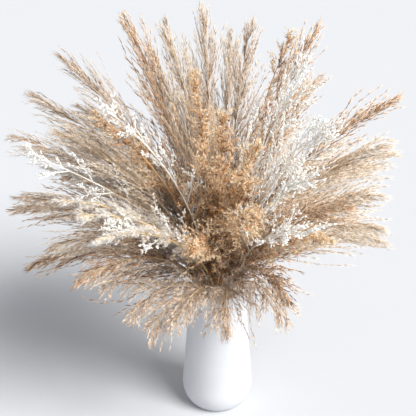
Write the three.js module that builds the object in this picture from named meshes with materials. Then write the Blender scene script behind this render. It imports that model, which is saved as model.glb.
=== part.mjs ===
// A full bunch of dried pampas grass and reed plumes, with sprigs of bleached sea lavender, standing in a
// tapered white stoneware vase. Millimetres, +Z up. The origin is the middle of the vase's foot, on the
// surface that it stands on. Azimuths are degrees in the XY plane, from +X towards +Y; -Y is the front.
import * as THREE from "three";

// ---- The vase -------------------------------------------------------------------------------------------

const VASE_HEIGHT = 150;
const MOUTH_RADIUS = 31; // outside, at the rim
const BELLY_RADIUS = 41; // outside, at the widest
const BELLY_HEIGHT = 25; // where the widest is
const FOOT_RADIUS = 26; // of the flat that it stands on
const WALL = 4;
const FLOOR = 6;
const VASE_SIDES = 48;
const ARC_STEPS = 6; // faces round a quarter turn of a profile's curve

// ---- How the cut stems stand in it ----------------------------------------------------------------------

const RINGS = 3; // in which the stalks pass the rim
const RING_PITCH = 6; // from one ring to the next
const RING_ROOM = [10, 18]; // stems in the two inner rings; the outer ring takes the rest
const RIM_GAP = 1; // between the outer ring's stalks and the vase's wall
const FOOT_SHARE = 0.72; // how far out a stalk's cut end stands, beside where it passes the rim
const FLOOR_GAP = 0.5; // between a cut end and the vase's floor
const UPRIGHT = [0.3, 0.13]; // share of its reach over which a stem keeps its first line: upright, level
const ARCH = 0.42; // share of its reach over which the tip keeps its last line
const BARE = 0.12; // share of its reach that a stem stays bare above the rim, at the least

// ---- What grows on them ---------------------------------------------------------------------------------

const SIDES = 6; // round a stem's section
const BEND_SECTIONS = 3; // on a stalk between the rim and its plume
const PLUME_SECTIONS = 9; // along a plume, before its tip
const SAMPLE_PITCH = 3; // between the points where the room beside a stem is measured
const CLEARANCE = 0.9; // between two plumes pressed together
const THINNEST = 0.6; // radius left where others press on a stem

// Each kind: the stalk's radius, the plume's length and its radius where it is fullest, how far along the
// plume that is, and the stems. A stem is [azimuth, lean, reach, droop]: lean is the angle between the
// vertical and the line from the middle of the vase's mouth to the plume's tip, reach is that line's
// length, and droop is how much further than that the tip itself leans.
const KINDS = {
  golden_reed: {
    stalk: 1.4,
    plume: 225,
    fullness: 17,
    fullest: 0.42,
    colour: 0xc69864,
    stems: [
      [-112, 14, 268, 8],
      [-88, 26, 262, 14],
      [-74, 31, 242, 16],
      [-78, 46, 226, 26],
      [-99, 50, 192, 30],
      [-53, 53, 206, 28],
      [-148, 31, 258, 16],
      [40, 20, 290, 10],
      [96, 50, 262, 26],
    ],
  },
  brown_reed: {
    stalk: 1.4,
    plume: 235,
    fullness: 13,
    fullest: 0.38,
    colour: 0xa67b52,
    stems: [
      [161, 19, 308, 8],
      [0, 39, 281, 18],
      [22, 21, 302, 10],
      [-44, 48, 218, 26],
      [-66, 66, 172, 42],
      [-178, 66, 238, 30],
      [-166, 76, 206, 40],
      [-137, 67, 192, 40],
      [120, 34, 288, 16],
      [68, 62, 258, 34],
      [148, 70, 240, 40],
      [116, 80, 222, 50],
    ],
  },
  taupe_pampas: {
    stalk: 1.6,
    plume: 225,
    fullness: 18,
    fullest: 0.5,
    colour: 0x9c8874,
    stems: [
      [112, 9, 302, 6],
      [60, 13, 290, 8],
      [175, 32, 302, 14],
      [178, 41, 288, 20],
      [-172, 48, 276, 22],
      [-166, 58, 242, 28],
      [-146, 62, 214, 38],
      [84, 28, 290, 14],
      [50, 43, 280, 22],
      [144, 50, 270, 26],
      [108, 62, 250, 34],
      [84, 78, 224, 48],
    ],
  },
  cream_pampas: {
    stalk: 1.6,
    plume: 220,
    fullness: 17,
    fullest: 0.5,
    colour: 0xcfb797,
    stems: [
      [-16, 42, 252, 20],
      [-24, 50, 222, 26],
      [-22, 59, 202, 34],
      [12, 54, 244, 28],
      [-156, 39, 262, 18],
      [32, 64, 226, 36],
      [6, 76, 192, 44],
      [140, 14, 294, 8],
    ],
  },
  ivory_plume: {
    stalk: 1.2,
    plume: 170,
    fullness: 9,
    fullest: 0.5,
    colour: 0xe6dac0,
    stems: [
      [-142, 50, 238, 24],
      [-132, 51, 236, 26],
      [-124, 54, 228, 28],
      [164, 60, 236, 30],
    ],
  },
  drooping_reed: {
    stalk: 1.2,
    plume: 120,
    fullness: 11,
    fullest: 0.45,
    colour: 0xb89270,
    stems: [
      [-143, 73, 152, 46],
      [-128, 80, 140, 52],
      [-119, 86, 136, 58],
      [-108, 79, 134, 56],
      [-86, 81, 128, 56],
      [-60, 79, 136, 52],
    ],
  },
  sea_lavender: {
    stalk: 1.1,
    plume: 185,
    fullness: 6,
    fullest: 0.6,
    colour: 0xf2ede2,
    stems: [
      [-136, 31, 274, 20],
      [-152, 46, 276, 14],
      [-126, 51, 214, 22],
      [-36, 20, 272, 8],
      [-41, 31, 252, 14],
      [-58, 39, 232, 18],
      [-62, 50, 206, 22],
      [104, 52, 256, 20],
    ],
  },
};

// ---- The vase's shape -----------------------------------------------------------------------------------

/** A quarter of an ellipse from the angle `from` to `to`, in degrees, as profile points. */
function arc(x, y, rx, ry, from, to) {
  const points = [];
  for (let i = 0; i <= ARC_STEPS; i++) {
    const a = THREE.MathUtils.degToRad(from + ((to - from) * i) / ARC_STEPS);
    points.push(new THREE.Vector2(x + rx * Math.cos(a), y + ry * Math.sin(a)));
  }
  return points;
}

/** The turned vase: foot, rounded belly, straight taper, round lip, and the same line again inside. */
function makeVase() {
  const lip = WALL / 2;
  const profile = [
    new THREE.Vector2(0, 0),
    ...arc(FOOT_RADIUS, BELLY_HEIGHT, BELLY_RADIUS - FOOT_RADIUS, BELLY_HEIGHT, -90, 0),
    ...arc(MOUTH_RADIUS - lip, VASE_HEIGHT - lip, lip, lip, 0, 180),
    ...arc(
      FOOT_RADIUS - WALL,
      BELLY_HEIGHT,
      BELLY_RADIUS - FOOT_RADIUS,
      BELLY_HEIGHT - FLOOR,
      0,
      -90,
    ),
    new THREE.Vector2(0, FLOOR),
  ];
  const geometry = new THREE.LatheGeometry(profile, VASE_SIDES);
  geometry.rotateX(Math.PI / 2);
  const stoneware = new THREE.MeshStandardMaterial({ color: 0xf1f1f2, roughness: 0.55 });
  const vase = new THREE.Mesh(geometry, stoneware);
  vase.name = "vase";
  return vase;
}

// ---- A stem's line --------------------------------------------------------------------------------------

/** The direction that leans by `lean` from the vertical towards `azimuth`, in degrees. */
function direction(azimuth, lean) {
  const a = THREE.MathUtils.degToRad(azimuth);
  const l = THREE.MathUtils.degToRad(lean);
  return new THREE.Vector3(Math.sin(l) * Math.cos(a), Math.sin(l) * Math.sin(a), Math.cos(l));
}

/** Every stem as an object with its kind's sizes, in the order of the kinds. */
function listStems() {
  return Object.entries(KINDS).flatMap(([kind, sizes]) =>
    sizes.stems.map(([azimuth, lean, reach, droop], i) => ({
      name: `${kind}_${i + 1}`,
      azimuth,
      lean,
      reach,
      droop,
      ...sizes,
    })),
  );
}

/** Gives each stem its seat at the rim. The upright ones take the inner rings, as they do in a real bunch,
 *  and round each ring they follow their azimuths at even distances, so that no two stalks cross. */
function seatStems(stems) {
  const waiting = [...stems].sort((a, b) => a.lean - b.lean);
  const thickest = Math.max(...stems.map(({ stalk }) => stalk));
  for (let ring = 0; ring < RINGS; ring++) {
    const radius = MOUTH_RADIUS - WALL - RIM_GAP - thickest - (RINGS - 1 - ring) * RING_PITCH;
    const room = RING_ROOM[ring] ?? waiting.length;
    const seated = waiting.splice(0, room).sort((a, b) => a.azimuth - b.azimuth);
    const pitch = 360 / seated.length;
    const turn = seated.reduce((sum, s, i) => sum + s.azimuth - i * pitch, 0) / seated.length;
    seated.forEach((stem, i) => {
      const out = direction(turn + i * pitch, 90);
      stem.foot = out.clone().multiplyScalar(radius * FOOT_SHARE).setZ(FLOOR + FLOOR_GAP);
      stem.seat = out.clone().multiplyScalar(radius).setZ(VASE_HEIGHT);
    });
  }
}

/** The stem's centreline: straight from its cut end to the rim, then one bend out to the plume's tip. */
function centreline({ foot, seat, azimuth, lean, reach, droop }) {
  const first = seat.clone().sub(foot).normalize();
  const last = direction(azimuth, lean + droop);
  const tip = direction(azimuth, lean).multiplyScalar(reach).add(new THREE.Vector3(0, 0, VASE_HEIGHT));
  const kept = THREE.MathUtils.lerp(UPRIGHT[0], UPRIGHT[1], Math.min(lean / 90, 1));
  const line = new THREE.CurvePath();
  line.add(new THREE.LineCurve3(foot, seat));
  line.add(
    new THREE.CubicBezierCurve3(
      seat,
      seat.clone().addScaledVector(first, kept * reach),
      tip.clone().addScaledVector(last, -ARCH * reach),
      tip,
    ),
  );
  return line;
}

// ---- A stem's body --------------------------------------------------------------------------------------

/** The radius that a stem has by itself at `along`, its distance from the cut end: the stalk's, and over
 *  the plume a spindle that is fullest at the kind's own place. */
function ownRadius(stem, along) {
  const u = (along - stem.plumeStart) / (stem.length - stem.plumeStart);
  if (u <= 0) return stem.stalk;
  const swell =
    u < stem.fullest
      ? Math.sin(((u / stem.fullest) * Math.PI) / 2)
      : Math.cos((((u - stem.fullest) / (1 - stem.fullest)) * Math.PI) / 2);
  return stem.stalk * (1 - u) + (stem.fullness - stem.stalk) * swell;
}

/** Measures a stem's line: its length, where it passes the rim and where its plume starts, and points
 *  along it, each with the stem's own radius there. */
function measure(stem) {
  stem.line = centreline(stem);
  stem.length = stem.line.getLength();
  stem.rim = stem.line.getCurveLengths()[0];
  stem.plumeStart = Math.max(stem.length - stem.plume, stem.rim + BARE * stem.reach);
  const n = Math.ceil(stem.length / SAMPLE_PITCH);
  stem.samples = Array.from({ length: n + 1 }, (_, i) => {
    const along = (stem.length * i) / n;
    return { along, at: stem.line.getPointAt(i / n), own: ownRadius(stem, along) };
  });
}

/** How much of its own radius a stem can keep at a sample: two plumes that press on each other share the
 *  distance between their lines by their own radii, less the clearance. */
function roomAt(stem, sample, others) {
  let room = sample.own;
  for (const other of others) {
    if (other === stem) continue;
    for (const beside of other.samples) {
      const both = sample.own + beside.own;
      const apart = sample.at.distanceTo(beside.at) - CLEARANCE;
      if (apart < both) room = Math.min(room, (apart * sample.own) / both);
    }
  }
  return { along: sample.along, radius: Math.max(room, THINNEST) };
}

/** Where a stem carries sections, as distances from its cut end: few on the stalk, more on the plume. */
function sectionPlaces({ length, rim, plumeStart }) {
  const places = [0, rim];
  for (let i = 1; i <= BEND_SECTIONS; i++) {
    places.push(rim + ((plumeStart - rim) * i) / BEND_SECTIONS);
  }
  for (let i = 1; i <= PLUME_SECTIONS; i++) {
    places.push(plumeStart + ((length - plumeStart) * i) / (PLUME_SECTIONS + 1));
  }
  return places;
}

/** The stem's profile, as radius against the number of the section: at each section the least room there
 *  is as far as the sections on either side of it, so that the faces between them stay clear too. */
function stemProfile(stem, places, rooms) {
  const profile = places.map((_, i) => {
    const from = places[i - 1] ?? 0;
    const to = places[i + 1] ?? stem.length;
    const here = rooms.filter(({ along }) => along >= from && along <= to);
    return new THREE.Vector2(Math.min(...here.map(({ radius }) => radius), ownRadius(stem, places[i])), i);
  });
  return [new THREE.Vector2(0, 0), ...profile, new THREE.Vector2(0, places.length)];
}

/** One cut stem, stalk and plume in one body: a turned profile laid along the stem's line. */
function makeStem(stem, all) {
  const places = sectionPlaces(stem);
  const rooms = stem.samples.map((sample) => roomAt(stem, sample, all));
  const geometry = new THREE.LatheGeometry(stemProfile(stem, places, rooms), SIDES);
  const level = direction(stem.azimuth + 90, 90);
  const frames = [...places, stem.length].map((along) => {
    const u = along / stem.length;
    const forward = stem.line.getTangentAt(u);
    const side = level.clone().projectOnPlane(forward).normalize();
    return { centre: stem.line.getPointAt(u), side, up: side.clone().cross(forward) };
  });
  const positions = geometry.getAttribute("position");
  for (let i = 0; i < positions.count; i++) {
    const { centre, side, up } = frames[Math.round(positions.getY(i))];
    const point = centre.clone().addScaledVector(side, positions.getX(i));
    point.addScaledVector(up, positions.getZ(i));
    positions.setXYZ(i, point.x, point.y, point.z);
  }
  geometry.computeVertexNormals();
  const dried = new THREE.MeshStandardMaterial({ color: stem.colour, roughness: 0.9 });
  const mesh = new THREE.Mesh(geometry, dried);
  mesh.name = stem.name;
  return mesh;
}

// ---- The bunch in its vase ------------------------------------------------------------------------------

const bunch = new THREE.Group();
bunch.add(makeVase());

const stems = listStems();
seatStems(stems);
stems.forEach(measure);
stems.forEach((stem) => bunch.add(makeStem(stem, stems)));

export default bunch;
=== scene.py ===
import bpy
import numpy as np
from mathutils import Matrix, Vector


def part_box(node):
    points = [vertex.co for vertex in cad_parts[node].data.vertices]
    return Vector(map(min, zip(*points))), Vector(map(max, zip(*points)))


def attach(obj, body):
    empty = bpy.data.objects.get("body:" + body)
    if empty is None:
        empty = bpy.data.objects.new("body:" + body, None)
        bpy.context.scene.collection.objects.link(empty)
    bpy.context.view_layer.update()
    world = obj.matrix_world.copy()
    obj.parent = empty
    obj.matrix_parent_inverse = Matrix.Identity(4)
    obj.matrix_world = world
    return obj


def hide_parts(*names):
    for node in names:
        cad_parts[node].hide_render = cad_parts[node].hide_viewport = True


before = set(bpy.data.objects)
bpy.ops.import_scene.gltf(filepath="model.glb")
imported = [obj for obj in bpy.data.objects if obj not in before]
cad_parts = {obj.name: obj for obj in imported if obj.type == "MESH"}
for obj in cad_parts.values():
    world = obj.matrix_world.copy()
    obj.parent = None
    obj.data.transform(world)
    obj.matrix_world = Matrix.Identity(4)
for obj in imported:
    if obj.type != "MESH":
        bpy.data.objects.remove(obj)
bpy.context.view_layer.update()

# ---- The vase ------------------------------------------------------------------------------------
# One piece of white stoneware, turned on a wheel and then sanded: a flat foot, a round belly, a straight
# taper and a round lip. It is fired with a matt white slip, which leaves a faint eggshell grain.

VASE_SIDES = 144
VASE_MOUTH = 0.031
VASE_BELLY_HEIGHT = 0.025
VASE_FOOT = 0.026
VASE_WALL = 0.004
VASE_FLOOR = 0.006
VASE_LIP_STEPS = 12
VASE_CORNER_STEPS = 20
VASE_TAPER_STEPS = 16


def quarter(centre, radii, start, end, steps):
    """Points of a turned profile from the angle `start` to `end`, in degrees, on an ellipse."""
    a = np.radians(np.linspace(start, end, steps + 1))
    return np.stack([centre[0] + radii[0] * np.cos(a), centre[1] + radii[1] * np.sin(a)], 1)


def vase_profile():
    """The turned outline, from the middle of the foot, up the outside, over the lip and down inside."""
    low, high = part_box("vase")
    height = high.z - low.z
    belly = (high.x - low.x) / 2
    lip = VASE_WALL / 2
    corner = (belly - VASE_FOOT, VASE_BELLY_HEIGHT)
    outside = quarter((VASE_FOOT, VASE_BELLY_HEIGHT), corner, -90, 0, VASE_CORNER_STEPS)
    round_lip = quarter((VASE_MOUTH - lip, height - lip), (lip, lip), 0, 180, VASE_LIP_STEPS)
    hollow = (corner[0], VASE_BELLY_HEIGHT - VASE_FLOOR)
    inside = quarter((VASE_FOOT - VASE_WALL, VASE_BELLY_HEIGHT), hollow, 0, -90, VASE_CORNER_STEPS)
    up = np.linspace(outside[-1], round_lip[0], VASE_TAPER_STEPS)[1:-1]
    down = np.linspace(round_lip[-1], inside[0], VASE_TAPER_STEPS)[1:-1]
    return np.concatenate([outside, up, round_lip, down, inside])


def make_mesh(name, points, faces, smooth=True):
    """A new object at the origin from points and faces, linked to the scene."""
    mesh = bpy.data.meshes.new(name)
    mesh.from_pydata(points.tolist(), [], [list(map(int, f)) for f in faces])
    mesh.polygons.foreach_set("use_smooth", [smooth] * len(mesh.polygons))
    mesh.update()
    thing = bpy.data.objects.new(name, mesh)
    bpy.context.scene.collection.objects.link(thing)
    return thing


def turn(name, profile, sides):
    """A closed solid of revolution whose profile's ends are joined to the axis by flat discs."""
    around = np.linspace(0, 2 * np.pi, sides, endpoint=False)
    rings = np.stack(
        [
            profile[:, None, 0] * np.cos(around),
            profile[:, None, 0] * np.sin(around),
            np.repeat(profile[:, None, 1], sides, 1),
        ],
        -1,
    ).reshape(-1, 3)
    poles = np.array([[0, 0, profile[0, 1]], [0, 0, profile[-1, 1]]])
    first, last = len(rings), len(rings) + 1
    top = (len(profile) - 1) * sides
    faces = []
    for i in range(sides):
        j = (i + 1) % sides
        faces.append((first, j, i))
        faces.append((last, top + i, top + j))
        for k in range(0, top, sides):
            faces.append((k + i, k + j, k + sides + j, k + sides + i))
    return make_mesh(name, np.concatenate([rings, poles]), faces)


def new_material(name, roughness, specular=0.3):
    """A material with one Principled shader, with its links, its shader and a function that adds nodes."""
    material = bpy.data.materials.new(name)
    material.use_nodes = True
    tree = material.node_tree
    shader = tree.nodes["Principled BSDF"]
    shader.inputs["Roughness"].default_value = roughness
    shader.inputs["Specular IOR Level"].default_value = specular

    def node(kind, **settings):
        made = tree.nodes.new("ShaderNode" + kind)
        for key, value in settings.items():
            if key in made.inputs:
                made.inputs[key].default_value = value
            else:
                setattr(made, key, value)
        return made

    return material, tree.links.new, shader, node


def ramp(node, stops):
    """A colour ramp with the stops, a list of (position, linear colour)."""
    made = node("ValToRGB")
    elements = made.color_ramp.elements
    while len(elements) < len(stops):
        elements.new(0.5)
    for element, (position, colour) in zip(elements, stops):
        element.position = position
        element.color = (*colour, 1)
    return made


def stoneware():
    """Matt white slip: nearly even in colour, with an eggshell grain and slow patches of sheen."""
    material, link, shader, node = new_material("matt_white_slip", 0.5, 0.4)
    place = node("TexCoord")
    patches = node("TexNoise", Scale=26.0, Detail=3.0)
    grain = node("TexNoise", Scale=950.0, Detail=4.0)
    tint = ramp(node, [(0.3, (0.585, 0.60, 0.63)), (0.7, (0.62, 0.635, 0.665))])
    sheen = node("MapRange")
    sheen.inputs["To Min"].default_value = 0.42
    sheen.inputs["To Max"].default_value = 0.6
    bump = node("Bump", Strength=0.12, Distance=0.0004)
    link(place.outputs["Object"], patches.inputs["Vector"])
    link(place.outputs["Object"], grain.inputs["Vector"])
    link(patches.outputs["Fac"], tint.inputs["Fac"])
    link(tint.outputs["Color"], shader.inputs["Base Color"])
    link(grain.outputs["Fac"], sheen.inputs["Value"])
    link(sheen.outputs["Result"], shader.inputs["Roughness"])
    link(grain.outputs["Fac"], bump.inputs["Height"])
    link(bump.outputs["Normal"], shader.inputs["Normal"])
    return material


vase = turn("stoneware_vase", vase_profile(), VASE_SIDES)
vase.data.materials.append(stoneware())
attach(vase, "root")
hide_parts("vase")

# ---- Golden reed plumes --------------------------------------------------------------------------
# Cut stems of a full, golden reed, dried with the plume open: a round stalk, short branches all round it
# and on every branch small chaffy spikelets, each in a puff of silk.

STEM_STEPS = 72
BRANCH_STEPS = 7
RIM_RING = 1
PLUME_RING = 4
TONES = 8
STALK, HUSK, SILK = 0, 1, 2
OFF_LINE = (0.31, 0.17, 0.05)
LAST_BRANCH = 0.985
SPREAD_IN_WHORL = 0.55
STRAY_SHARE = 0.16
STRAY_EXTRA = 0.4
SILK_DROP = 0.12
# How far up the plume, as a share of it, the painted shade of the dense hollow over the rim reaches.
PAINTED_SHADE_REACH = 0.35

GOLDEN = dict(
    slot="golden_reed",
    rings_early=2.4,
    branches=170,
    whorl=5,
    crowding=1.0,
    branch=0.044,
    tip=0.004,
    taper=0.36,
    pointed=0.6,
    open=48,
    close=38,
    sag=0.25,
    zigzag=0.28,
    bare=0.10,
    spacing=0.0040,
    husk=0.0056,
    husk_radius=0.00062,
    husk_angle=46,
    silks=5,
    silk=0.0058,
    silk_angle=46,
    silk_radius=0.00009,
    stalk=0.0014,
    paleness=1.02,
    patches=0.34,
    # How much paler the husks are towards a branch's tip and darker towards its foot at the rib: partly
    # the grass's own colour, partly painted shade.
    pale_tips_and_rib_shade=1.3,
    # hollow: how strongly painted shade darkens the strands of the branches low on the plume.
    hollow=1.3,
    ripe=0.14,
    colours=dict(
        stalk=[(0.0, (0.36, 0.20, 0.08)), (1.0, (0.74, 0.50, 0.27))],
        husk=[(0.0, (0.10, 0.028, 0.006)), (0.45, (0.86, 0.41, 0.15)), (1.0, (1.0, 0.76, 0.46))],
        silk=[(0.0, (0.40, 0.16, 0.05)), (0.5, (1.0, 0.63, 0.34)), (1.0, (1.0, 0.91, 0.79))],
    ),
)


def welded(node):
    """A CAD node's corners, each once, and its edges between them."""
    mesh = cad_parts[node].data
    corners = np.array([v.co for v in mesh.vertices]).round(6)
    points, which = np.unique(corners, axis=0, return_inverse=True)
    which = which.ravel()
    edges = {tuple(sorted(which[[a, b]])) for p in mesh.polygons for a, b in p.edge_keys}
    return points, [e for e in edges if e[0] != e[1]]


def rings_from(start, beside):
    """The corners in rings: the start, then the corners that are one edge from it, then two, and so on."""
    rings = [[start]]
    seen = {start}
    while rings[-1]:
        rings.append(sorted({b for a in rings[-1] for b in beside[a]} - seen))
        seen.update(rings[-1])
    return rings[:-1]


def stem_rings(node):
    """The middles of the rings of a stem's solid, from its cut end to the plume's tip, which is the corner
    that most edges part from the lowest one. The middle of the cut end itself is left out, as the ring
    round it has the same middle."""
    points, edges = welded(node)
    beside = [[] for _ in points]
    for a, b in edges:
        beside[a].append(b)
        beside[b].append(a)
    tip = rings_from(int(np.argmin(points[:, 2])), beside)[-1][0]
    return np.array([points[ring].mean(0) for ring in rings_from(tip, beside)[-2::-1]])


def smooth_line(knots, steps):
    """Equally spaced points on a smooth curve through the knots, and the knots' distances along it."""
    at = np.r_[0, np.cumsum(np.linalg.norm(np.diff(knots, axis=0), axis=1))]
    slope = np.gradient(knots, at, axis=0)
    where = np.linspace(0, at[-1], steps + 1)
    k = np.clip(np.searchsorted(at, where, "right") - 1, 0, len(at) - 2)
    span = (at[k + 1] - at[k])[:, None]
    u = (where[:, None] - at[k][:, None]) / span
    line = (
        (2 * u**3 - 3 * u**2 + 1) * knots[k]
        + (u**3 - 2 * u**2 + u) * span * slope[k]
        + (3 * u**2 - 2 * u**3) * knots[k + 1]
        + (u**3 - u**2) * span * slope[k + 1]
    )
    return line, at / at[-1]


def unit(v):
    """The vectors at length 1."""
    return v / np.maximum(np.linalg.norm(v, axis=-1, keepdims=True), 1e-9)


def across(v, seed):
    """For each vector a random unit vector square to it."""
    other = seed.normal(size=v.shape)
    return unit(other - (other * v).sum(-1, keepdims=True) * v)


def leaned(v, side, angle):
    """The vectors v leaned towards the unit vectors `side` by the angle, in degrees."""
    a = np.radians(angle)[..., None]
    return np.cos(a) * v + np.sin(a) * side


def sampled(lines, u):
    """Points at u, from 0 to 1, on lines of equal steps: lines is (n, steps, 3) and u is (n, m)."""
    steps = lines.shape[1] - 1
    k = np.clip((u * steps).astype(int), 0, steps - 1)
    part = (u * steps - k)[..., None]
    row = np.arange(len(lines))[:, None]
    return lines[row, k] * (1 - part) + lines[row, k + 1] * part


def tubes(lines, radii, sides):
    """Closed tubes along lines (n, steps, 3) with radii (n, steps). A ring is turned by a direction a
    little off the line's own, so that a straight line has one too."""
    n, steps, _ = lines.shape
    forward = unit(np.gradient(lines, axis=1))
    level = unit(np.cross(forward, forward.mean(1, keepdims=True) + OFF_LINE))
    other = np.cross(forward, level)
    a = np.arange(sides) * 2 * np.pi / sides
    ring = np.cos(a)[:, None] * level[:, :, None] + np.sin(a)[:, None] * other[:, :, None]
    points = lines[:, :, None] + radii[:, :, None, None] * ring
    at = np.arange(n * steps * sides).reshape(n, steps, sides)
    here, there = at[:, :-1], at[:, 1:]
    turned, turned_up = np.roll(here, -1, 2), np.roll(there, -1, 2)
    walls = [np.stack([here, turned, turned_up], -1), np.stack([here, turned_up, there], -1)]
    caps = []
    for k in range(1, sides - 1):
        caps.append(np.stack([at[:, 0, 0], at[:, 0, k + 1], at[:, 0, k]], -1))
        caps.append(np.stack([at[:, -1, 0], at[:, -1, k], at[:, -1, k + 1]], -1))
    faces = np.concatenate([w.reshape(-1, 3) for w in walls] + caps)
    along = np.broadcast_to(np.linspace(0, 1, steps)[None, :, None], at.shape)
    side = np.broadcast_to(np.arange(sides) / (sides - 1), at.shape)
    return points.reshape(-1, 3), faces, along.ravel(), side.ravel(), steps * sides


def spindles(base, forward, length, radius, sides, waist, seed):
    """Closed double cones, such as husks, buds and florets: one ring at `waist` between two points."""
    level = across(forward, seed)
    other = np.cross(forward, level)
    a = np.arange(sides) * 2 * np.pi / sides
    ring = np.cos(a)[:, None] * level[:, None] + np.sin(a)[:, None] * other[:, None]
    middle = base + forward * (length * waist)[:, None]
    points = np.concatenate(
        [
            base[:, None],
            middle[:, None] + radius[:, None, None] * ring,
            (base + forward * length[:, None])[:, None],
        ],
        1,
    )
    corners = sides + 2
    faces = []
    for i in range(sides):
        j = (i + 1) % sides
        faces += [(0, 1 + j, 1 + i), (1 + i, 1 + j, corners - 1)]
    return strands(points, faces, [0, *[waist] * sides, 1], [0.5, *np.linspace(0, 1, sides), 0.5])


def needles(base, forward, length, radius, seed):
    """Closed three-sided needles, such as hairs, each from a small base to a point."""
    level = across(forward, seed)
    other = np.cross(forward, level)
    a = np.arange(3) * 2 * np.pi / 3
    ring = np.cos(a)[:, None] * level[:, None] + np.sin(a)[:, None] * other[:, None]
    foot = base[:, None] + radius[:, None, None] * ring
    points = np.concatenate([foot, (base + forward * length[:, None])[:, None]], 1)
    faces = [(0, 2, 1), (0, 1, 3), (1, 2, 3), (2, 0, 3)]
    return strands(points, faces, [0, 0.03, 0.06, 1], [0, 0.5, 1, 0.5])


def strands(points, faces, along, side):
    """Many copies of one small shape, points being (n, corners, 3), as one set of corners and faces."""
    n, corners, _ = points.shape
    all_faces = np.array(faces)[None] + (np.arange(n) * corners)[:, None, None]
    return points.reshape(-1, 3), all_faces.reshape(-1, 3), np.tile(along, n), np.tile(side, n), corners


def bundle(name, parts, materials):
    """One object from parts, each (material's number, strands, tone of each strand). Every strand has one
    of a few tones, and a bake map on which each tone of each material has a column of its own."""
    points, faces, tones, along, side, kinds = [], [], [], [], [], []
    count = 0
    for kind, (p, f, v, s, corners), tone in parts:
        step = np.clip((tone * TONES).astype(int), 0, TONES - 1)
        points.append(p)
        faces.append(f + count)
        tones.append(np.repeat(step, corners))
        along.append(v)
        side.append(s)
        kinds.append(np.full(len(f), kind))
        count += len(p)
    points, faces, tones, along, side, kinds = map(
        np.concatenate, (points, faces, tones, along, side, kinds)
    )
    mesh = bpy.data.meshes.new(name)
    mesh.vertices.add(len(points))
    mesh.vertices.foreach_set("co", points.ravel())
    mesh.loops.add(len(faces) * 3)
    mesh.loops.foreach_set("vertex_index", faces.ravel())
    mesh.polygons.add(len(faces))
    mesh.polygons.foreach_set("loop_start", np.arange(0, len(faces) * 3, 3))
    mesh.polygons.foreach_set("material_index", kinds)
    mesh.polygons.foreach_set("use_smooth", np.ones(len(faces), bool))
    for key, values in (("tone", (tones + 0.5) / TONES), ("along", along)):
        mesh.attributes.new(key, "FLOAT", "POINT").data.foreach_set("value", values.astype(np.float32))
    corner = faces.ravel()
    columns = TONES * len(materials)
    u = (np.repeat(kinds, 3) * TONES + tones[corner] + 0.15 + 0.7 * side[corner]) / columns
    v = 0.02 + 0.92 * along[corner] + 0.04 * side[corner]
    mesh.uv_layers.new(name="OFBake").data.foreach_set("uv", np.stack([u, v], 1).ravel())
    mesh.validate()
    mesh.update()
    for material in materials:
        mesh.materials.append(material)
    thing = bpy.data.objects.new(name, mesh)
    bpy.context.scene.collection.objects.link(thing)
    return thing


def dried(name, stops, roughness, foot, fleck, sheen):
    """Dried grass: its colour follows each strand's tone, with painted shade towards the strand's foot,
    with fine flecks along it and the sheen of its down."""
    material, link, shader, node = new_material(name, roughness, 0.25)
    shader.inputs["Sheen Weight"].default_value = sheen
    shader.inputs["Sheen Roughness"].default_value = 0.5
    shader.inputs["Sheen Tint"].default_value = (1.0, 0.86, 0.68, 1)
    tone = node("Attribute", attribute_name="tone")
    along = node("Attribute", attribute_name="along")
    colour = ramp(node, stops)
    # Painted shade: the colour is multiplied darker towards the foot of each strand, where it joins.
    painted_foot_shade = ramp(node, [(0.0, (foot, foot, foot)), (0.45, (1, 1, 1))])
    place = node("CombineXYZ")
    flecks = node("TexNoise", Scale=9.0, Detail=2.0)
    strength = node("MapRange")
    strength.inputs["To Min"].default_value = 1 - fleck
    strength.inputs["To Max"].default_value = 1 + fleck
    dark = node("Mix", data_type="RGBA", blend_type="MULTIPLY")
    speckled = node("VectorMath", operation="SCALE")
    dark.inputs["Factor"].default_value = 1
    link(tone.outputs["Fac"], colour.inputs["Fac"])
    link(along.outputs["Fac"], painted_foot_shade.inputs["Fac"])
    link(tone.outputs["Fac"], place.inputs["X"])
    link(along.outputs["Fac"], place.inputs["Y"])
    link(place.outputs["Vector"], flecks.inputs["Vector"])
    link(flecks.outputs["Fac"], strength.inputs["Value"])
    link(colour.outputs["Color"], dark.inputs["A"])
    link(painted_foot_shade.outputs["Color"], dark.inputs["B"])
    link(dark.outputs["Result"], speckled.inputs["Vector"])
    link(strength.outputs["Result"], speckled.inputs["Scale"])
    link(speckled.outputs["Vector"], shader.inputs["Base Color"])
    return material


def plume_materials(kind, colours):
    """The three materials of a kind of plume: stalk and branches, husks, and silk."""
    return [
        dried(f"{kind}_stalk", colours["stalk"], 0.55, 0.85, 0.15, 0.0),
        dried(f"{kind}_husk", colours["husk"], 0.6, 0.7, 0.25, 0.0),
        dried(f"{kind}_silk", colours["silk"], 0.7, 0.85, 0.1, 0.5),
    ]


def stem_line(node):
    """A stem's line, as (1, steps, 3), and where on it the rim and the plume's start are."""
    line, at = smooth_line(stem_rings(node), STEM_STEPS)
    return line[None], at[RIM_RING], at[PLUME_RING]


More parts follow.
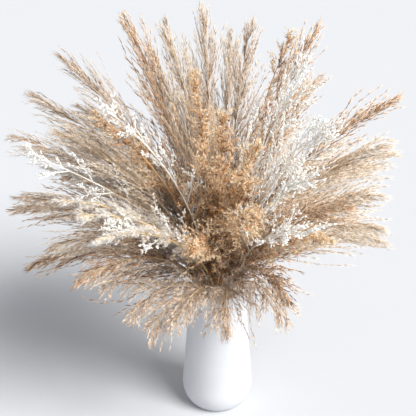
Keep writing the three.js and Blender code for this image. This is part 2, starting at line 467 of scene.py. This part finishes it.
def branch_lines(line, start, seed, habit):
    """The branches of a plume as lines (n, steps, 3), each with its place on the plume from 0 to 1. They
    grow in whorls: a few from one point of the rib, all to much the same side. Towards the tip they get
    shorter and closer to the rib, and a few stray ones are longer and stand out further."""
    whorls = habit["branches"] // habit["whorl"]
    n = whorls * habit["whorl"]
    place = (np.arange(whorls) + seed.uniform(0, 1, whorls)) / whorls
    place = np.repeat(LAST_BRANCH * place ** habit["crowding"], habit["whorl"])
    u = start + (1 - start) * place
    foot = sampled(line, u[None])[0]
    forward = unit(sampled(line, np.minimum(u + 0.01, 1)[None])[0] - sampled(line, u[None] - 0.01)[0])
    side = across(forward[:: habit["whorl"]], seed)
    out = np.repeat(side, habit["whorl"], 0) + SPREAD_IN_WHORL * across(forward, seed)
    out = unit(out - (out * forward).sum(-1, keepdims=True) * forward)
    size = np.minimum(1, 0.62 + 2.0 * place) * (1 - (1 - habit["taper"]) * np.clip(place, 0.2, 1) ** 1.4)
    stray = 1 + STRAY_EXTRA * (seed.uniform(size=n) < STRAY_SHARE)
    length = habit["branch"] * size * stray * seed.uniform(0.62, 1.2, n)
    reach = np.linalg.norm(np.diff(line[0], axis=0), axis=1).sum() * (1 - start)
    left = (1 - place) * reach * seed.uniform(0.4, 1.0, n)
    length = np.minimum(length, left + habit["tip"])
    narrow = (1 - habit["pointed"] * place**2) * stray * seed.uniform(0.85, 1.2)
    first = leaned(forward, out, habit["open"] * narrow * seed.uniform(0.6, 1.25, n))
    last = leaned(forward, out, habit["close"] * narrow * seed.uniform(0.3, 1.3, n))
    t = np.linspace(0, 1, BRANCH_STEPS)[None, :, None]
    heading = unit(first[:, None] * (1 - t) + last[:, None] * t)
    heading[..., 2] -= habit["sag"] * t[..., 0] ** 1.5 * seed.uniform(0.5, 1.4, (n, 1))
    heading = unit(heading + habit["zigzag"] * seed.normal(size=heading.shape))
    pace = length[:, None, None] / (BRANCH_STEPS - 1) * heading
    pace[:, 0] = 0
    return foot[:, None] + np.cumsum(pace, 1), place, length


def husk_places(lines, length, seed, habit):
    """Where the husks sit on the branches: points, headings and the branch that each is on."""
    most = int(length.max() * (1 - habit["bare"]) / habit["spacing"]) + 1
    u = habit["bare"] + (np.arange(most) + seed.uniform(0, 0.8, (len(lines), most))) * (
        habit["spacing"] / length[:, None]
    )
    on = u <= 1
    u = np.clip(u, 0.02, 0.999)
    points = sampled(lines, u)
    headings = unit(points - sampled(lines, u - 0.02))
    which = np.broadcast_to(np.arange(len(lines))[:, None], on.shape)
    return points[on], headings[on], which[on], u[on]


def grow_plume(node, number, habit, materials):
    """One cut stem: stalk and middle rib, branches, husks and silk, along the line of its CAD solid. The
    strands get painted shade near the rim, where the bunch is dense, and are darker towards the foot of
    each branch, partly their own colour and partly painted shade."""
    seed = np.random.default_rng([habit["branches"], number])
    line, rim, start = stem_line(node)
    start = rim + (start - rim) / habit["rings_early"]
    u = np.linspace(0, 1, STEM_STEPS + 1)[None]
    thin = np.clip((u - start) / (1 - start), 0, 1)
    rib = tubes(line, habit["stalk"] * (1 - 0.82 * thin), 6)
    lines, place, length = branch_lines(line, start, seed, habit)
    t = np.linspace(0, 1, BRANCH_STEPS)[None]
    twigs = tubes(lines, habit["stalk"] * (0.18 - 0.11 * t) * np.ones((len(lines), 1)), 3)
    points, headings, which, u = husk_places(lines, length, seed, habit)
    n = len(points)
    side = across(headings, seed)
    turned = leaned(headings, side, habit["husk_angle"] * seed.uniform(0.3, 1.2, n))
    husk = habit["husk"] * seed.uniform(0.7, 1.25, n)
    husks = spindles(
        points, turned, husk, habit["husk_radius"] * seed.uniform(0.75, 1.2, n), 3, 0.38, seed
    )
    each = habit["silks"]
    base = np.repeat(points, each, 0)
    line_of = np.repeat(turned, each, 0)
    off = across(line_of, seed)
    spread = leaned(line_of, off, habit["silk_angle"] * seed.uniform(0.15, 1.1, n * each))
    spread[:, 2] -= SILK_DROP
    silk = habit["silk"] * seed.uniform(0.6, 1.25, n * each)
    hairs = needles(base, unit(spread), silk, np.full(n * each, habit["silk_radius"]), seed)
    own = seed.normal(habit["paleness"], 0.05) + seed.normal(0, 0.13, len(lines))
    patch = seed.normal(0, habit["patches"], len(lines) // habit["whorl"])
    own += np.repeat(patch, habit["whorl"])
    # Husks near a branch's foot at the rib are darker: partly their own colour, partly painted shade of
    # the dense middle.
    light = own[which] + habit["pale_tips_and_rib_shade"] * (u - 0.6) + seed.normal(0, 0.18, n)
    # Painted shade: strands on branches low on the plume, in the dense hollow over the rim, are darkened.
    light -= habit["hollow"] * np.clip(1 - place[which] / PAINTED_SHADE_REACH, 0, 1)
    parts = [
        (STALK, rib, np.array([0.5])),
        (STALK, twigs, own),
        (HUSK, husks, light - habit["ripe"]),
        (SILK, hairs, np.repeat(light, each) + seed.normal(0, 0.12, n * each)),
    ]
    plume = bundle(f"plume.{node}", parts, materials)
    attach(plume, "root")
    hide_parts(node)


def grow_all(habit):
    """Every stem of a kind, which are the CAD nodes that start with its slot's name."""
    materials = plume_materials(habit["slot"], habit["colours"])
    nodes = sorted(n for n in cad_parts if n.startswith(habit["slot"] + "_"))
    for number, node in enumerate(nodes):
        grow_plume(node, number, habit, materials)


grow_all(GOLDEN)

# ---- Brown reed plumes ---------------------------------------------------------------------------
# Cut stems of common reed, dried ripe: long airy branches whose ends stand apart, set with slender brown
# husks on zigzag twigs and with white silk between them.

BROWN = dict(
    slot="brown_reed",
    rings_early=1.5,
    branches=128,
    whorl=4,
    crowding=0.85,
    branch=0.100,
    tip=0.004,
    taper=0.36,
    pointed=0.75,
    open=31,
    close=17,
    sag=0.22,
    zigzag=0.10,
    bare=0.12,
    spacing=0.0060,
    husk=0.0082,
    husk_radius=0.00050,
    husk_angle=17,
    silks=5,
    silk=0.0078,
    silk_angle=20,
    silk_radius=0.00009,
    stalk=0.0014,
    paleness=0.77,
    patches=0.18,
    hollow=0.9,
    ripe=0.26,
    pale_tips_and_rib_shade=0.7,
    colours=dict(
        stalk=[(0.0, (0.36, 0.22, 0.11)), (1.0, (0.72, 0.54, 0.36))],
        husk=[(0.0, (0.08, 0.026, 0.008)), (0.45, (0.56, 0.265, 0.105)), (1.0, (0.97, 0.71, 0.46))],
        silk=[(0.0, (0.40, 0.23, 0.12)), (0.45, (0.96, 0.78, 0.60)), (1.0, (1.0, 0.98, 0.94))],
    ),
)

grow_all(BROWN)

# ---- Taupe pampas plumes -------------------------------------------------------------------------
# Cut stems of a grey-brown pampas: many fine long branches that lie nearly side by side, with narrow husks
# and long silk that all runs one way, so that the plume looks combed.

TAUPE = dict(
    slot="taupe_pampas",
    rings_early=1.5,
    branches=165,
    whorl=5,
    crowding=0.9,
    branch=0.092,
    tip=0.004,
    taper=0.38,
    pointed=0.65,
    open=33,
    close=17,
    sag=0.26,
    zigzag=0.06,
    bare=0.06,
    spacing=0.0058,
    husk=0.0074,
    husk_radius=0.00036,
    husk_angle=13,
    silks=4,
    silk=0.0100,
    silk_angle=15,
    silk_radius=0.00009,
    stalk=0.0016,
    paleness=0.84,
    patches=0.17,
    hollow=0.9,
    ripe=0.24,
    pale_tips_and_rib_shade=0.7,
    colours=dict(
        stalk=[(0.0, (0.36, 0.25, 0.16)), (1.0, (0.68, 0.54, 0.41))],
        husk=[(0.0, (0.08, 0.035, 0.014)), (0.45, (0.55, 0.34, 0.19)), (1.0, (0.94, 0.77, 0.59))],
        silk=[(0.0, (0.36, 0.22, 0.13)), (0.45, (0.93, 0.77, 0.61)), (1.0, (1.0, 0.98, 0.94))],
    ),
)

grow_all(TAUPE)

# ---- Cream pampas plumes -------------------------------------------------------------------------
# Cut stems of a pale pampas, which fan out on the right: the same build as the taupe ones, in beige to
# cream, with softer and longer silk.

CREAM = dict(
    TAUPE,
    slot="cream_pampas",
    branch=0.098,
    close=15,
    silk=0.0105,
    paleness=0.86,
    colours=dict(
        stalk=[(0.0, (0.50, 0.36, 0.22)), (1.0, (0.84, 0.70, 0.52))],
        husk=[(0.0, (0.20, 0.10, 0.04)), (0.45, (0.74, 0.49, 0.28)), (1.0, (1.0, 0.87, 0.71))],
        silk=[(0.0, (0.52, 0.34, 0.20)), (0.45, (1.0, 0.84, 0.69)), (1.0, (1.0, 0.985, 0.95))],
    ),
)

grow_all(CREAM)

# ---- Ivory plumes --------------------------------------------------------------------------------
# Thin arching plumes, bleached nearly white, whose yellow middle rib shows: short branches close to the
# rib, all silk.

IVORY = dict(
    slot="ivory_plume",
    rings_early=1.2,
    branches=180,
    whorl=5,
    crowding=1.0,
    branch=0.023,
    tip=0.004,
    taper=0.45,
    pointed=0.3,
    open=30,
    close=18,
    sag=0.1,
    zigzag=0.04,
    bare=0.04,
    spacing=0.0040,
    husk=0.0054,
    husk_radius=0.00035,
    husk_angle=20,
    silks=7,
    silk=0.0085,
    silk_angle=19,
    silk_radius=0.00011,
    stalk=0.0013,
    paleness=0.88,
    patches=0.06,
    hollow=0.8,
    ripe=0.0,
    pale_tips_and_rib_shade=0.4,
    colours=dict(
        stalk=[(0.0, (0.72, 0.50, 0.22)), (1.0, (0.88, 0.66, 0.34))],
        husk=[(0.0, (0.60, 0.42, 0.28)), (0.5, (0.95, 0.84, 0.71)), (1.0, (1.0, 0.96, 0.89))],
        silk=[(0.0, (0.74, 0.58, 0.44)), (0.5, (1.0, 0.95, 0.89)), (1.0, (1.0, 0.99, 0.97))],
    ),
)

grow_all(IVORY)

# ---- Drooping reed plumes ------------------------------------------------------------------------
# Short reed plumes that hang over the vase's rim: few branches, whose ends stand apart, with husks that
# turn pale as they dry.

DROOPING = dict(
    BROWN,
    slot="drooping_reed",
    rings_early=2.6,
    branches=90,
    branch=0.058,
    pointed=0.2,
    open=40,
    close=24,
    sag=0.5,
    spacing=0.0052,
    husk_angle=24,
    silk=0.0085,
    silk_angle=30,
    paleness=1.12,
    hollow=0.4,
    ripe=0.42,
    colours=dict(
        stalk=[(0.0, (0.46, 0.31, 0.17)), (1.0, (0.80, 0.63, 0.45))],
        husk=[(0.0, (0.17, 0.078, 0.03)), (0.4, (0.64, 0.37, 0.20)), (1.0, (1.0, 0.80, 0.60))],
        silk=[(0.0, (0.62, 0.47, 0.35)), (0.4, (1.0, 0.93, 0.86)), (1.0, (1.0, 0.99, 0.97))],
    ),
)

grow_all(DROOPING)

# ---- Sea lavender sprigs -------------------------------------------------------------------------
# Bleached sea lavender: a smooth white stalk that forks again and again, with rows of small florets on
# the outer twigs. The coarse ones have florets of three lobes, the finely divided ones of one.

COARSE = dict(
    forks=7,
    fork=0.050,
    twigs=5,
    twig=0.013,
    bare=0.30,
    fork_angle=36,
    twig_angle=46,
    florets=3,
    lobes=3,
    lobe=0.0056,
    lobe_radius=0.00068,
    lobe_angle=36,
    stalk=0.00120,
)
FINE = dict(
    forks=9,
    fork=0.078,
    twigs=6,
    twig=0.024,
    bare=0.18,
    fork_angle=26,
    twig_angle=34,
    florets=7,
    lobes=1,
    lobe=0.0056,
    lobe_radius=0.00090,
    lobe_angle=30,
    stalk=0.00150,
)
FORKS_FROM = 0.34
LAST_FORK = 0.95
SPRIG_SEED = 77
FLORET = 1
FORK_CURL = 0.5
FORK_STEPS = 9
TWIG_STEPS = 6
COARSE_NODES = ("sea_lavender_1", "sea_lavender_2", "sea_lavender_3")
WHITE = [(0.0, (0.78, 0.74, 0.66)), (0.5, (0.93, 0.915, 0.87)), (1.0, (1.0, 0.985, 0.95))]


def side_lines(lines, places, length, angle, seed, steps):
    """Lines that fork from others: at the places (n, m) on lines (n, steps, 3), alternately on either
    side, leaned by the angle and curling back towards the parent's own line."""
    n, m = places.shape
    foot = sampled(lines, places)
    forward = unit(foot - sampled(lines, places - 0.02))
    plane = across(lines[:, -1] - lines[:, 0], seed)[:, None]
    level = unit(np.cross(forward, plane))
    other = np.cross(forward, level)
    a = np.radians(seed.uniform(-55, 55, (n, m)))[..., None]
    out = (np.cos(a) * level + np.sin(a) * other) * np.where(np.arange(m) % 2, 1, -1)[None, :, None]
    first = leaned(forward, out, np.full((n, m), angle) * seed.uniform(0.7, 1.2, (n, m)))
    last = unit(first * (1 - FORK_CURL) + forward * FORK_CURL)
    t = np.linspace(0, 1, steps)[:, None]
    heading = first[:, :, None] * (1 - t) + last[:, :, None] * t
    heading = unit(heading + 0.05 * seed.normal(size=heading.shape))
    pace = (length / (steps - 1))[..., None, None] * heading
    pace[:, :, 0] = 0
    return (foot[:, :, None] + np.cumsum(pace, 2)).reshape(n * m, steps, 3)


def grow_sprig(node, number, habit, materials):
    """One sprig: the stalk, its forks, their twigs and the florets along the twigs."""
    seed = np.random.default_rng([SPRIG_SEED, number])
    line, rim, _ = stem_line(node)
    stalk = habit["stalk"]
    u = np.linspace(0, 1, STEM_STEPS + 1)[None]
    parts = [(STALK, tubes(line, stalk * (1 - 0.72 * u**2), 6), np.array([0.45]))]
    m = habit["forks"]
    places = np.linspace(rim + (1 - rim) * FORKS_FROM, LAST_FORK, m)[None]
    places = places + seed.uniform(-0.01, 0.01, (1, m))
    size = 1 - 0.75 * np.linspace(0, 1, m)[None] ** 1.5
    length = habit["fork"] * size * seed.uniform(0.7, 1.15, size.shape)
    forks = side_lines(line, np.clip(places, 0.03, 1), length, habit["fork_angle"], seed, FORK_STEPS)
    stalk_end = sampled(line, np.linspace(0.88, 0.97, FORK_STEPS)[None])
    forks = np.concatenate([forks, stalk_end])
    t = np.linspace(0, 1, FORK_STEPS)[None]
    tone = seed.normal(0.55, 0.15, len(forks))
    parts.append((STALK, tubes(forks, stalk * (0.62 - 0.3 * t) * np.ones((len(forks), 1)), 4), tone))
    m = habit["twigs"]
    places = np.linspace(habit["bare"], 1, m)[None] + seed.uniform(-0.04, 0.0, (len(forks), m))
    length = habit["twig"] * seed.uniform(0.55, 1.2, places.shape)
    twigs = side_lines(forks, places, length, habit["twig_angle"], seed, TWIG_STEPS)
    t = np.linspace(0, 1, TWIG_STEPS)[None]
    tone = seed.normal(0.6, 0.15, len(twigs))
    parts.append((STALK, tubes(twigs, stalk * (0.36 - 0.14 * t) * np.ones((len(twigs), 1)), 3), tone))
    m = habit["florets"]
    u = np.linspace(0.3, 1, m)[None] + seed.uniform(-0.06, 0.0, (len(twigs), m))
    at = sampled(twigs, u)
    heading = unit(at - sampled(twigs, u - 0.05))
    base = np.repeat(at.reshape(-1, 3), habit["lobes"], 0)
    line_of = np.repeat(heading.reshape(-1, 3), habit["lobes"], 0)
    n = len(base)
    off = across(line_of, seed)
    turned = unit(leaned(line_of, off, habit["lobe_angle"] * seed.uniform(0.4, 1.3, n)))
    length = habit["lobe"] * seed.uniform(0.6, 1.15, n)
    radius = habit["lobe_radius"] * seed.uniform(0.75, 1.2, n)
    lobes = spindles(base, turned, length, radius, 5, 0.6, seed)
    parts.append((FLORET, lobes, seed.normal(0.6, 0.2, n)))
    sprig = bundle(f"sprig.{node}", parts, materials)
    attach(sprig, "root")
    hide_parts(node)


sprig_materials = [
    dried("bleached_stalk", WHITE, 0.5, 0.95, 0.04, 0.0),
    dried("bleached_floret", WHITE, 0.65, 0.95, 0.05, 0.0),
]
for number, node in enumerate(sorted(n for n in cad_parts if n.startswith("sea_lavender_"))):
    grow_sprig(node, number, COARSE if node in COARSE_NODES else FINE, sprig_materials)

# ---- Floor, light and camera ---------------------------------------------------------------------
# A wide pale floor, one large soft light from the front right, and a surround that is paler at the horizon
# than overhead. The camera stands at the front and looks 24 degrees down.

FLOOR_HALF = 40.0
FLOOR_COLOUR = (0.625, 0.64, 0.665)
CAMERA_PLACE = (0.0, -0.704, 0.560)
CAMERA_PITCH = 24.0
CAMERA_TURN = 0.9
CAMERA_LENS = 62.5
SENSOR = 36.0
KEY_FROM = (0.60, -0.46, 0.66)
KEY_STRENGTH = 4.8
KEY_SPREAD = 34.0
KEY_COLOUR = (1.0, 0.985, 0.965)
HORIZON_COLOUR = (0.72, 0.735, 0.76)
OVERHEAD_COLOUR = (0.37, 0.38, 0.40)
OVERHEAD_FROM = 0.6

corners = np.array([(-1, -1, 0), (1, -1, 0), (1, 1, 0), (-1, 1, 0)]) * FLOOR_HALF
floor = make_mesh("floor", corners, [(0, 1, 2, 3)], smooth=False)
material, link, shader, node = new_material("pale_floor", 0.8, 0.1)
shader.inputs["Base Color"].default_value = (*FLOOR_COLOUR, 1)
floor.data.materials.append(material)

sun = bpy.data.lights.new("key", "SUN")
sun.energy = KEY_STRENGTH
sun.angle = np.radians(KEY_SPREAD)
sun.color = KEY_COLOUR
lamp = bpy.data.objects.new("key", sun)
lamp.rotation_euler = Vector(KEY_FROM).to_track_quat("Z", "Y").to_euler()
bpy.context.scene.collection.objects.link(lamp)

world = bpy.data.worlds.new("surround")
world.use_nodes = True
nodes, link = world.node_tree.nodes, world.node_tree.links.new
direction = nodes.new("ShaderNodeTexCoord")
height = nodes.new("ShaderNodeSeparateXYZ")
paler = nodes.new("ShaderNodeValToRGB")
paler.color_ramp.elements[0].color = (*HORIZON_COLOUR, 1)
paler.color_ramp.elements[1].position = OVERHEAD_FROM
paler.color_ramp.elements[1].color = (*OVERHEAD_COLOUR, 1)
link(direction.outputs["Generated"], height.inputs["Vector"])
link(height.outputs["Z"], paler.inputs["Fac"])
link(paler.outputs["Color"], nodes["Background"].inputs["Color"])
bpy.context.scene.world = world
bpy.context.scene.view_settings.view_transform = "Standard"

camera_data = bpy.data.cameras.new("camera")
camera_data.lens = CAMERA_LENS
camera_data.sensor_width = SENSOR
camera = bpy.data.objects.new("camera", camera_data)
camera.location = CAMERA_PLACE
camera.rotation_euler = (np.radians(90 - CAMERA_PITCH), 0, np.radians(CAMERA_TURN))
bpy.context.scene.collection.objects.link(camera)
bpy.context.scene.camera = camera
